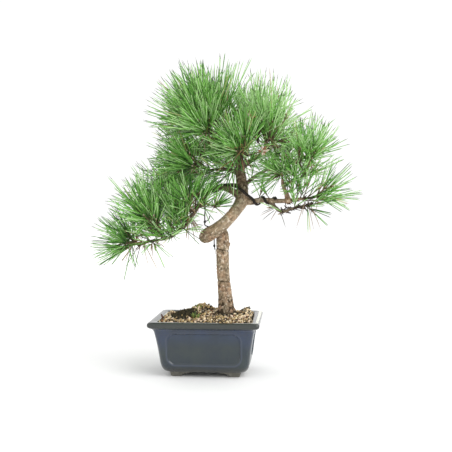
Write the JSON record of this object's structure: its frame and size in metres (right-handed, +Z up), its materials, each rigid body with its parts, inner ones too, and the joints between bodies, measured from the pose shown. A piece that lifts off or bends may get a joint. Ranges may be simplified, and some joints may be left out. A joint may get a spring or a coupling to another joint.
{
  "type": "japanese black pine bonsai in a pot",
  "caption": "Japanese black pine trained as a small potted tree, with a coiled leaning trunk, wired boughs and open tufts of long needles in a glazed rectangular pot.",
  "frame": {"origin": "on the surface that the pot stands on, under the middle of the whole plant's box", "axes": "+Z up, +X to the right along the pot's long side as the picture shows it, -Y towards the viewer"},
  "size_m": [0.5142, 0.3452, 0.602],
  "materials": {
    "glaze": "glossy navy grey glaze, bare clay on the feet",
    "gravel": "mixed cream, tan and brown gravel",
    "bark": "rough plated bark",
    "bough_bark": "rough young bark",
    "wire_coat": "dark brown anodised training wire",
    "tie_wire": "dull dark tie wire",
    "needle_green": "satin green needles on brown twigs"
  },
  "bodies": {
    "root": {"pot": "glaze", "soil": "gravel", "trunk": "bark", "bough_left_root": "bough_bark", "bough_left_end": "bough_bark", "bough_right": "bough_bark", "bough_right_low": "bough_bark", "bough_right_rise": "bough_bark", "bough_right_upper": "bough_bark", "bough_crown_left": "bough_bark", "bough_crown_right": "bough_bark", "bough_crown_front": "bough_bark", "bough_crown_back": "bough_bark", "bough_mid_left": "bough_bark", "bough_right_back": "bough_bark", "bough_left_back": "bough_bark", "training_wire": "wire_coat", "tie_wire": "tie_wire", "needles_crown_left": "needle_green", "needles_crown_top": "needle_green", "needles_crown_right": "needle_green", "needles_crown_front": "needle_green", "needles_crown_back": "needle_green", "needles_mid_left": "needle_green", "needles_left_inner": "needle_green", "needles_left_bud": "needle_green", "needles_left_middle": "needle_green", "needles_left_lower": "needle_green", "needles_left_tip": "needle_green", "needles_left_back": "needle_green", "needles_right_inner": "needle_green", "needles_right_upper": "needle_green", "needles_right_tip": "needle_green", "needles_right_back": "needle_green"}
  },
  "joints": []
}
